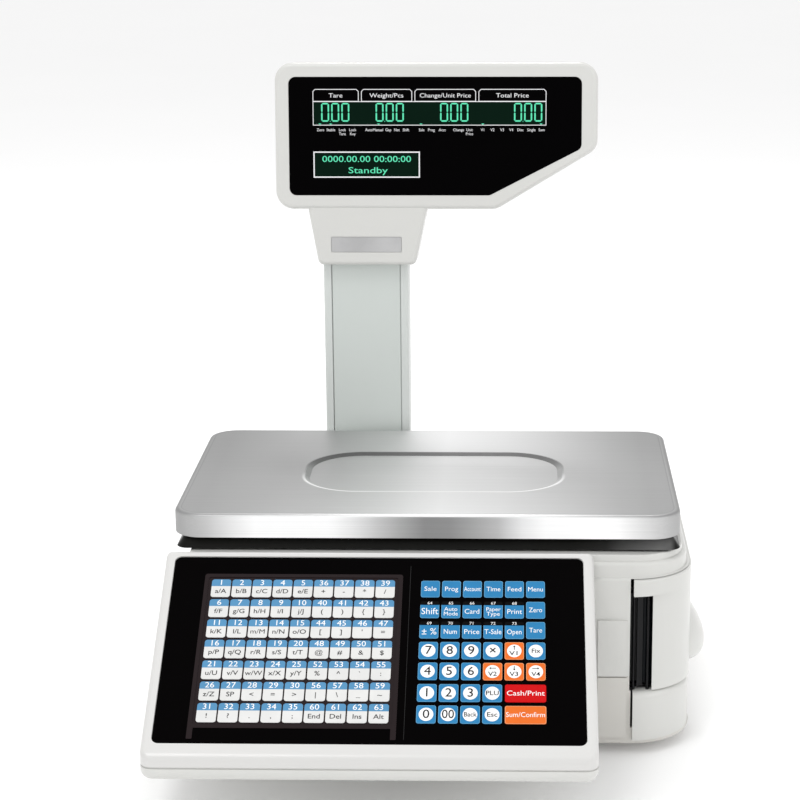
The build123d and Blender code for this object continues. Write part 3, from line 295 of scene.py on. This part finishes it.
def tint_along_x(mat, lo, hi, stops):
    """Adds a painted reflection to a moulded material: its colour is lightened by a slow ramp from side to side."""
    nt = mat.node_tree
    b = nt.nodes["Principled BSDF"]
    src = b.inputs["Base Color"].links[0].from_socket
    tc = nt.nodes.new("ShaderNodeTexCoord")
    sep = nt.nodes.new("ShaderNodeSeparateXYZ")
    nt.links.new(tc.outputs["Object"], sep.inputs["Vector"])
    mr = nt.nodes.new("ShaderNodeMapRange")
    mr.inputs["From Min"].default_value = lo
    mr.inputs["From Max"].default_value = hi
    nt.links.new(sep.outputs["X"], mr.inputs["Value"])
    mx = nt.nodes.new("ShaderNodeMix")
    mx.data_type = "RGBA"
    mx.blend_type = "ADD"
    mx.inputs["Factor"].default_value = 1.0
    nt.links.new(src, mx.inputs["A"])
    nt.links.new(ramp(nt, mr.outputs["Result"], stops), mx.inputs["B"])
    nt.links.new(mx.outputs["Result"], b.inputs["Base Color"])


# painted reflection: the right end of the black carrier is drawn lighter
tint_along_x(M["carrier"], 0.100, 0.180, [(0.0, 0.0), (0.30, 0.010), (0.42, 0.045), (0.80, 0.12), (0.90, 0.09), (0.95, 0.0), (1.0, 0.0)])

ASSIGN = {
    "upper_housing": "shell", "printer_door": "shell", "head_front_shell": "shell",
    "head_rear_shell": "shell", "console_top_shell": "console",
    "base_tray": "shell_low", "printer_corner_cover": "shell", "console_bottom_shell": "shell",
    "platter_carrier": "carrier", "printer_frame": "frame_black", "platen_pulley": "black",
    "motor_pulley": "steel", "label_spindle": "black", "liner_takeup": "black",
    "power_inlet": "black", "power_rocker": "black", "port_sockets": "black",
    "label_sensor": "black", "release_lever": "band_blue", "keypad_film": "film",
    "legend_frame": "legend_brown", "plu_keys": "white_key", "function_keys": "blue",
    "arrow_keys": "orange", "total_key": "red", "platter": "steel_top",
    "platen_shaft": "steel", "guide_bars": "gloss_black", "bearing_pins": "steel",
    "housing_screws": "steel", "board_screws": "steel", "machine_bolts": "steel",
    "platen_bushings": "steel", "port_plate": "steel", "chassis": "chassis",
    "pole_bracket": "chassis", "feed_motor": "chassis", "load_cell": "alu",
    "load_cell_spacers": "alu", "platter_spider": "alu", "print_head": "gloss_black", "pole": "pole",
    "pole_strip": "pole_strip", "platen_sleeve": "platen", "drive_belt": "rubber",
    "platter_buttons": "rubber", "levelling_foot_1": "rubber", "levelling_foot_2": "rubber",
    "levelling_foot_3": "rubber", "levelling_foot_4": "rubber", "main_board": "pcb",
    "keypad_board": "pcb", "display_boards": "pcb", "front_lens": "lens", "rear_lens": "lens",
    "neck_badge": "badge", "power_supply": "alu", "spirit_level_body": "black",
    "spirit_level_vial": "vial",
}
for name, o in N.items():
    mat = M[ASSIGN.get(name, "shell")]
    if not o.data.materials:
        o.data.materials.append(mat)
    for i in range(len(o.data.materials)):
        o.data.materials[i] = mat


# -------------------------------------------------------------- mesh builders
class Sheet:
    """Thin printed shapes laid on a flat frame: origin, u, v and normal w in mm."""

    def __init__(self, origin, u, v, w):
        self.o, self.u, self.v, self.w = Vector(origin), Vector(u), Vector(v), Vector(w)
        self.bm = bmesh.new()

    def p(self, x, y, h):
        q = self.o + self.u * x + self.v * y + self.w * h
        return G(q.x, q.y, q.z)

    def poly(self, pts, h0, h1=None):
        top = [self.bm.verts.new(self.p(x, y, h1 if h1 is not None else h0)) for x, y in pts]
        self.bm.faces.new(top)
        if h1 is not None and h1 != h0:
            low = [self.bm.verts.new(self.p(x, y, h0)) for x, y in pts]
            n = len(pts)
            for i in range(n):
                j = (i + 1) % n
                self.bm.faces.new((low[i], low[j], top[j], top[i]))
            self.bm.faces.new(list(reversed(low)))

    def ring(self, outer, inner, h0, h1):
        n = len(outer)
        a = [self.bm.verts.new(self.p(x, y, h1)) for x, y in outer]
        b = [self.bm.verts.new(self.p(x, y, h1)) for x, y in inner]
        c = [self.bm.verts.new(self.p(x, y, h0)) for x, y in outer]
        d = [self.bm.verts.new(self.p(x, y, h0)) for x, y in inner]
        for i in range(n):
            j = (i + 1) % n
            self.bm.faces.new((a[i], a[j], b[j], b[i]))
            self.bm.faces.new((c[i], c[j], a[j], a[i]))
            self.bm.faces.new((b[i], b[j], d[j], d[i]))
            self.bm.faces.new((d[i], d[j], c[j], c[i]))

    def text(self, body, x, y, size, h, sx=1.0, align="CENTER", bold=0.0, fit=None):
        cu = bpy.data.curves.new("t", "FONT")
        cu.body = body
        cu.size = size
        cu.align_x = align
        cu.align_y = "CENTER"
        cu.extrude = 0.012
        cu.offset = bold
        cu.resolution_u = 3
        ob = bpy.data.objects.new("t", cu)
        me = bpy.data.meshes.new_from_object(ob)
        if fit and me.vertices:
            xs = [v.co.x for v in me.vertices]
            sx = fit / max(max(xs) - min(xs), 1e-6)
        bm = bmesh.new()
        bm.from_mesh(me)
        for v in bm.verts:
            v.co = self.p(x + v.co.x * sx, y + v.co.y, h + v.co.z)
        bm.to_mesh(me)
        bm.free()
        self.bm.from_mesh(me)
        bpy.data.meshes.remove(me)
        bpy.data.objects.remove(ob)
        bpy.data.curves.remove(cu)

    def make(self, name, mat, body, slot, smooth=False):
        bmesh.ops.recalc_face_normals(self.bm, faces=self.bm.faces)
        me = bpy.data.meshes.new(name)
        self.bm.to_mesh(me)
        self.bm.free()
        me.materials.append(mat)
        if smooth:
            me.polygons.foreach_set("use_smooth", [True] * len(me.polygons))
        ob = bpy.data.objects.new(name, me)
        bpy.context.scene.collection.objects.link(ob)
        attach(ob, body)
        return ob


def rrect(x0, y0, x1, y1, r, k=5):
    """Rounded rectangle; r is one radius or four (bottom left, then anticlockwise)."""
    rs = r if isinstance(r, (tuple, list)) else (r,) * 4
    out = []
    for (cx, cy, a0), rr in zip(((x0, y0, 180), (x1, y0, 270), (x1, y1, 0), (x0, y1, 90)), rs):
        sx = 1 if cx == x0 else -1
        sy = 1 if cy == y0 else -1
        if rr <= 0:
            out.append((cx, cy))
            continue
        for i in range(k + 1):
            a = math.radians(a0 + 90 * i / k)
            out.append((cx + sx * rr + rr * math.cos(a), cy + sy * rr + rr * math.sin(a)))
    return out


def ellipse(cx, cy, a, b, k=36):
    return [(cx + a * math.cos(2 * math.pi * i / k), cy + b * math.sin(2 * math.pi * i / k)) for i in range(k)]


# ------------------------------------------------------- keyboard printing
S_, C_ = math.sin(math.radians(32.7)), math.cos(math.radians(32.7))
KEY = ((0, -134.358, 82.892), (1, 0, 0), (0, C_, S_), (0, -S_, C_))
KX0, KPX, KPV = -149.01, 15.088, 18.375
KT = 0.45                                  # raised key fields stand this high
bands, nums, syms = Sheet(*KEY), Sheet(*KEY), Sheet(*KEY)
LOW = [
    ["a/A", "b/B", "c/C", "d/D", "e/E", "+", "-", "*", "/"],
    ["f/F", "g/G", "h/H", "i/I", "j/J", "(", ")", "{", "}"],
    ["k/K", "l/L", "m/M", "n/N", "o/O", "[", "]", "'", "="],
    ["p/P", "q/Q", "r/R", "s/S", "t/T", "@", "#", "&", "$"],
    ["u/U", "v/V", "w/W", "x/X", "y/Y", "%", "^", "`", ":"],
    ["z/Z", "SP", "<", "=", ">", "|", "\\", "_", "~"],
    ["!", "?", ".", ",", ";", "End", "Del", "Ins", "Alt"],
]
for j in range(7):
    for i in range(9):
        cx, cv = KX0 + i * KPX, (6 - j) * KPV
        num = j * 5 + i + 1 if i < 5 else 36 + j * 4 + (i - 5)
        bands.poly(rrect(cx - 7.0, cv + 1.9, cx + 7.0, cv + 8.1, (0, 0, 2.0, 2.0)), KT, KT + 0.03)
        nums.text(str(num), cx, cv + 5.0, 6.7, KT + 0.06, sx=1.05, bold=0.0)
        t = LOW[j][i]
        syms.text(t, cx, cv - 2.8, 5.6 if len(t) < 4 else 4.8, KT + 0.03, sx=1.08, bold=0.0 if t in ("m/M", "w/W", "&", "@") else 0.03)
bands.make("key_bands", M["band_blue"], "base", "key_blue")
nums.make("key_numbers", M["ink_white"], "base", "key_white")
syms.make("key_symbols", M["ink_black"], "base", "film")

COLS = [4.85, 20.2, 35.6, 51.0, 66.35, 81.7]
ROWS = [110.4, 91.4, 73.1, 54.8, 36.6, 17.9, -0.4]
fw, fb, fe, fs = Sheet(*KEY), Sheet(*KEY), Sheet(*KEY), Sheet(*KEY)
TOPROW = ["Sale", "Prog", "Account", "Time", "Feed", "Menu"]
R1 = [("64", "Shift"), ("65", "Auto\nMode"), ("66", "Card"), ("67", "Paper\nType"), ("68", "Print"), (None, "Zero")]
R2 = [("69", "± %"), ("70", "Num"), ("71", "Price"), ("72", "T-Sale"), ("73", "Open"), (None, "Tare")]


WIDE = {"Sale": 8.9, "Prog": 9.6, "Account": 12.2, "Time": 10.2, "Feed": 9.9, "Menu": 10.8, "Shift": 12.2, "Auto": 9.6,
        "Mode": 10.2, "Card": 10.6, "Paper": 10.4, "Type": 9.6, "Print": 10.6, "Zero": 9.6, "± %": 10.6, "Num": 9.4, "Price": 10.8,
        "T-Sale": 12.2, "Open": 10.4, "Tare": 9.3, "PLU": 9.0, "Back": 8.9, "Esc": 7.2, "Fix": 6.2, "V1": 6.0, "V2": 6.2,
        "V3": 6.2, "V4": 6.2, "Cash/Print": 26.6, "Sum/Confirm": 27.2}


def word(sheet, t, x, y, size, h, width=12.4, bold=0.0):
    lines = t.split("\n")
    for k, ln in enumerate(lines):
        yy = y + (len(lines) - 1) * size * 0.42 - k * size * 0.84
        sheet.text(ln, x, yy, size, h, bold=bold, fit=WIDE.get(ln))


for i, t in enumerate(TOPROW):
    word(fw, t, COLS[i], ROWS[0], 5.8, KT + 0.03)
for row, ROW in ((R1, ROWS[1]), (R2, ROWS[2])):
    for i, (n, t) in enumerate(row):
        if n is None:
            word(fw, t, COLS[i], ROW, 6.0, KT + 0.03)
            continue
        fs.poly(rrect(COLS[i] - 6.87, ROW + 4.3, COLS[i] + 6.87, ROW + 7.57, (0, 0, 1.6, 1.6)), KT, KT + 0.03)
        word(fw, n, COLS[i], ROW + 5.9, 3.6, KT + 0.06)
        word(fw, t, COLS[i], ROW - 1.6, 8.2 if t in ("Shift", "± %") else (6.2 if "\n" not in t else 5.0), KT + 0.03)
DIG = {(3, 0): "7", (3, 1): "8", (3, 2): "9", (4, 0): "4", (4, 1): "5", (4, 2): "6",
       (5, 0): "1", (5, 1): "2", (5, 2): "3", (6, 0): "0", (6, 1): "00", (3, 3): "×",
       (3, 5): "Fix", (5, 3): "PLU", (6, 2): "Back", (6, 3): "Esc"}
for (r, c), t in DIG.items():
    x, y = COLS[c], ROWS[r]
    fe.poly(ellipse(x, y, 5.15, 5.6), KT, KT + 0.03)
    if t.isdigit():
        fb.text(t, x, y, 10.4, KT + 0.06, sx=1.0 if len(t) == 1 else 0.86, bold=0.0 if t == "4" else 0.03)
    elif t == "×":
        fb.text(t, x, y, 10.0, KT + 0.06, bold=0.0 if t == "4" else 0.055)
    else:
        word(fb, t, x, y, 5.4, KT + 0.06, width=9.8, bold=0.045)


def arrow(sheet, x, y, ang, L=5.2, h=KT + 0.06):
    ca, sa = math.cos(ang), math.sin(ang)
    pts = [(-L / 2, -0.28), (L / 2 - 1.3, -0.28), (L / 2 - 1.3, -0.95), (L / 2, 0), (L / 2 - 1.3, 0.95),
           (L / 2 - 1.3, 0.28), (-L / 2, 0.28)]
    sheet.poly([(x + a * ca - b * sa, y + a * sa + b * ca) for a, b in pts], h - 0.02, h)


for (r, c), t, ang, dx in (((3, 4), "V1", 90, 0), ((4, 3), "V2", 180, 0), ((4, 4), "V3", -90, 0), ((4, 5), "V4", 0, 0)):
    x, y = COLS[c], ROWS[r]
    fe.poly(ellipse(x, y, 5.15, 5.6), KT, KT + 0.03)
    arrow(fb, x, y + 2.9, math.radians(ang), 3.8 if abs(ang) == 90 else 5.0)
    word(fb, t, x, y - 2.2, 5.2, KT + 0.06, bold=0.045)
word(fw, "Cash/Print", 74.4, ROWS[5], 6.0, KT + 0.03, width=26)
word(fw, "Sum/Confirm", 74.4, ROWS[6], 5.8, KT + 0.03, width=26)
eb, eo = Sheet(*KEY), Sheet(*KEY)
for r, y in enumerate(ROWS):
    for c, x in enumerate(COLS):
        if r >= 5 and c >= 4:
            continue
        sh = eo if (r == 3 and c == 4) or (r == 4 and c >= 3) else eb
        sh.ring(rrect(x - 6.82, y - 7.52, x + 6.82, y + 7.52, 1.6), rrect(x - 6.57, y - 7.27, x + 6.57, y + 7.27, 1.4), KT - 0.02, KT + 0.02)
eo.ring(rrect(60.0, ROWS[6] - 7.52, 88.8, ROWS[6] + 7.52, 1.6), rrect(60.3, ROWS[6] - 7.25, 88.5, ROWS[6] + 7.25, 1.4), KT - 0.02, KT + 0.02)
eb.make("key_edges_blue", M["edge_blue"], "base", "key_blue")
eo.make("key_edges_orange", M["edge_orange"], "base", "key_orange")
fe.make("key_ovals", M["ink_white"], "base", "key_white")
fw.make("key_words", M["ink_white"], "base", "key_white")
fb.make("key_digits", M["ink_black"], "base", "film")
fs.make("key_number_strips", M["strip_black"], "base", "film")

# pocket sheet behind the left key block and the fine rule beside it
pk = Sheet(*KEY)
pk.poly(rrect(-158.6, -9.8, -18.6, 120.6, 2), 0.0, 0.05)
pk.make("legend_sheet", M["legend_brown"], "base", "bezel_brown")
ru = Sheet(*KEY)
ru.poly([(-10.3, -21.5), (-10.0, -21.5), (-10.0, 132.2), (-10.3, 132.2)], 0.0, 0.03)
ru.make("film_rule", M["ink_grey"], "base", "film")

# ----------------------------------------------------------- display head
T5 = math.radians(5.0)
ST, CT = math.sin(T5), math.cos(T5)
FRONT = ((0, 244.0, 376.0), (1, 0, 0), (0, ST, CT), (0, -CT, ST))
q = Vector((0, 244.0, 376.0)) + Vector((0, CT, -ST)) * 44.0
REAR = (tuple(q), (-1, 0, 0), (0, ST, CT), (0, CT, -ST))
SEG = {"0": "abcdef", "8": "abcdefg"}


def seven(sheet, x, y, w, h, t, segs, z0, z1, slant=0.0):
    """One seven-segment digit with mitred bars; x, y is its lower left."""
    g = 0.18
    def bar(pts):
        sheet.poly([(x + a + slant * b / h, y + b) for a, b in pts], z0, z1)
    m = h / 2
    k = t / 2
    if "a" in segs: bar([(k + g, h - k), (t + g, h), (w - t - g, h), (w - k - g, h - k), (w - t - g, h - t), (t + g, h - t)])
    if "d" in segs: bar([(k + g, k), (t + g, t), (w - t - g, t), (w - k - g, k), (w - t - g, 0), (t + g, 0)])
    if "g" in segs: bar([(k + g, m), (t + g, m + k), (w - t - g, m + k), (w - k - g, m), (w - t - g, m - k), (t + g, m - k)])
    if "f" in segs: bar([(k, h - k - g), (0, h - t - g), (0, m + t / 2 + g), (k, m + g), (t, m + t / 2 + g), (t, h - t - g)])
    if "b" in segs: bar([(w - k, h - k - g), (w - t, h - t - g), (w - t, m + t / 2 + g), (w - k, m + g), (w, m + t / 2 + g), (w, h - t - g)])
    if "e" in segs: bar([(k, k + g), (t, t + g), (t, m - t / 2 - g), (k, m - g), (0, m - t / 2 - g), (0, t + g)])
    if "c" in segs: bar([(w - k, k + g), (w, t + g), (w, m - t / 2 - g), (w - k, m - g), (w - t, m - t / 2 - g), (w - t, t + g)])


def display(frm, tag, dx, bx):
    """All that shows through one lens: tabs, digits, labels and the clock window."""
    z = -0.3
    line, win, led = Sheet(*frm), Sheet(*frm), Sheet(*frm)
    tabs = [(-101.3, -63.3, "Tare"), (-61.3, -19.2, "Weight/Pcs"), (-17.2, 33.4, "Change/Unit Price"), (35.5, 91.3, "Total Price")]
    L = 0.55
    for a, b, t in tabs:
        a, b = a + dx, b + dx
        outer = [(a, 88.2), (b, 88.2), (b, 96.6), (b - 1.9, 98.5), (a + 1.9, 98.5), (a, 96.6)]
        inner = [(a + L, 88.2 + L), (b - L, 88.2 + L), (b - L, 96.35), (b - 2.1, 98.5 - L), (a + 2.1, 98.5 - L), (a + L, 96.35)]
        line.ring(outer, inner, z, z + 0.05)
        n = len(t) * 4.6 * 0.53
        line.text(t, (a + b) / 2, 93.1, 5.0, z + 0.03, sx=min(1.22, (b - a - 3.0) / n))
    x0, x1 = -101.3 + dx, 91.3 + dx
    win.poly([(x0 + 0.5, 69.2), (x1 - 0.5, 69.2), (x1 - 0.5, 88.0), (x0 + 0.5, 88.0)], z, z + 0.03)
    line.ring([(x0, 68.7), (x1, 68.7), (x1, 88.5), (x0, 88.5)],
              [(x0 + L, 68.7 + L), (x1 - L, 68.7 + L), (x1 - L, 88.5 - L), (x0 + L, 88.5 - L)], z, z + 0.06)
    for gx in (-94.4, -49.4, 3.8, 64.7):
        for k in range(3):
            seven(led, gx + dx + k * 8.35, 71.8, 6.6, 15.4, 1.2, SEG["0"], z + 0.03, z + 0.09)
        led.poly(rrect(gx + dx + 7.15, 71.8, gx + dx + 7.75, 72.4, 0.15, 2), z + 0.03, z + 0.09)
    for tx in (-95.5, -86.6, -47.0, -12.0, 39.0, 87.0):
        led.poly([(tx + dx - 1.2, 70.3), (tx + dx, 69.2), (tx + dx + 1.2, 70.3)], z + 0.03, z + 0.08)
    small = [(-95, "Zero"), (-86.5, "Stable"), (-77, "Lock\nTare"), (-68.5, "Lock\nKey"), (-55, "Auto"), (-47.5, "Manual"),
             (-39, "Gap"), (-32, "Net"), (-24.5, "Shift"), (-11.5, "Sale"), (-3.5, "Prog"), (5.5, "Acct"), (19, "Change"),
             (28, "Unit\nPrice"), (39, "V1"), (47, "V2"), (55, "V3"), (62.5, "V4"), (70, "Disc"), (79, "Single"), (87.5, "Sum")]
    for x, t in small:
        for k, ln in enumerate(t.split("\n")):
            line.text(ln, x + dx, 65.0 - k * 3.3, 3.3, z + 0.03, sx=0.92)
    a, b = -101.2 + bx, -13.0 + bx
    win.poly([(a + 0.8, 26.4), (b - 0.8, 26.4), (b - 0.8, 46.6), (a + 0.8, 46.6)], z, z + 0.03)
    line.ring([(a, 25.7), (b, 25.7), (b, 47.3), (a, 47.3)], [(a + 1.0, 26.7), (b - 1.0, 26.7), (b - 1.0, 46.3), (a + 1.0, 46.3)], z, z + 0.06)
    led.text("0000.00.00 00:00:00", (a + b) / 2, 40.9, 7.2, z + 0.05, fit=73.5, bold=0.015)
    led.text("Standby", (a + b) / 2 + 1, 31.6, 7.2, z + 0.05, fit=32.5, bold=0.015)
    line.make(tag + "_display_lines", M["line"], "base", "key_white")
    win.make(tag + "_display_windows", M["window"], "base", "film")
    led.make(tag + "_display_digits", M["led"], "base", "key_white")


display(FRONT, "front", 0.0, 0.0)
display(REAR, "rear", 10.0, 114.2)

# ------------------------------------------------------------- stage, light
me = bpy.data.meshes.new("floor")
bm = bmesh.new()
bmesh.ops.create_grid(bm, x_segments=2, y_segments=2, size=20)
bm.to_mesh(me)
bm.free()
floor = bpy.data.objects.new("floor", me)
bpy.context.scene.collection.objects.link(floor)
fm, nt, b = new_mat("floor_pale")
v = coords(nt)
nt.links.new(ramp(nt, noise(nt, v, 3.0), [(0.3, 0.945), (0.7, 0.955)]), b.inputs["Base Color"])
b.inputs["Roughness"].default_value = 0.85
b.inputs["Specular IOR Level"].default_value = 0.1
b.inputs["Emission Color"].default_value = (1, 1, 1, 1)
b.inputs["Emission Strength"].default_value = 0.07
me.materials.append(fm)

w = bpy.data.worlds.new("studio")
bpy.context.scene.world = w
w.use_nodes = True
bg = w.node_tree.nodes["Background"]
gt = w.node_tree.nodes.new("ShaderNodeTexCoord")
gs = w.node_tree.nodes.new("ShaderNodeSeparateXYZ")
w.node_tree.links.new(gt.outputs["Generated"], gs.inputs["Vector"])
gr = w.node_tree.nodes.new("ShaderNodeValToRGB")
gr.color_ramp.elements[0].position = 0.30
gr.color_ramp.elements[0].color = (0.90, 0.90, 0.90, 1)
gr.color_ramp.elements[1].position = 0.75
gr.color_ramp.elements[1].color = (1.0, 1.0, 1.0, 1)
mr = w.node_tree.nodes.new("ShaderNodeMapRange")
mr.inputs["From Min"].default_value = -1.0
mr.inputs["From Max"].default_value = 1.0
w.node_tree.links.new(gs.outputs["Z"], mr.inputs["Value"])
w.node_tree.links.new(mr.outputs["Result"], gr.inputs["Fac"])
w.node_tree.links.new(gr.outputs["Color"], bg.inputs["Color"])
bg.inputs["Strength"].default_value = 0.90


def area(name, loc, target, size, power, size_y=None, col=(1, 1, 1)):
    l = bpy.data.lights.new(name, "AREA")
    l.energy = power
    l.shape = "RECTANGLE"
    l.size = size
    l.size_y = size_y or size
    l.color = col
    ob = bpy.data.objects.new(name, l)
    bpy.context.scene.collection.objects.link(ob)
    ob.location = loc
    ob.rotation_mode = "QUATERNION"
    ob.rotation_quaternion = (Vector(target) - Vector(loc)).to_track_quat("-Z", "Y")
    return ob


area("key_light", (-0.7, -1.1, 2.5), (0, 0, 0.15), 0.9, 15)
area("fill_light", (1.7, -1.2, 1.2), (0, 0, 0.2), 0.8, 4)
area("top_light", (0.0, 1.3, 2.3), (0, 0.1, 0.3), 0.7, 15)
bpy.context.scene.view_settings.view_transform = "Standard"

# ------------------------------------------------------------------- camera
cd = bpy.data.cameras.new("camera")
cam = bpy.data.objects.new("camera", cd)
bpy.context.scene.collection.objects.link(cam)
bpy.context.scene.camera = cam
cd.sensor_width = 36.0
cd.lens = 2242.87 / 800.0 * 36.0
cd.shift_x = -(462.14 - 400.0) / 800.0
cd.shift_y = 0.0
cd.clip_start, cd.clip_end = 0.05, 100.0
pitch, yaw, roll = math.radians(14.44), math.radians(-1.432), math.radians(-0.192)
fwv = Vector((math.sin(yaw) * math.cos(pitch), math.cos(yaw) * math.cos(pitch), -math.sin(pitch)))
rt0 = Vector((math.cos(yaw), -math.sin(yaw), 0.0))
up0 = rt0.cross(fwv)
rt = rt0 * math.cos(roll) + up0 * math.sin(roll)
up = up0 * math.cos(roll) - rt0 * math.sin(roll)
cam.rotation_mode = "QUATERNION"
cam.rotation_quaternion = Matrix((rt, up, -fwv)).transposed().to_quaternion()
cam.location = G(67.378, -1596.482, 686.359)
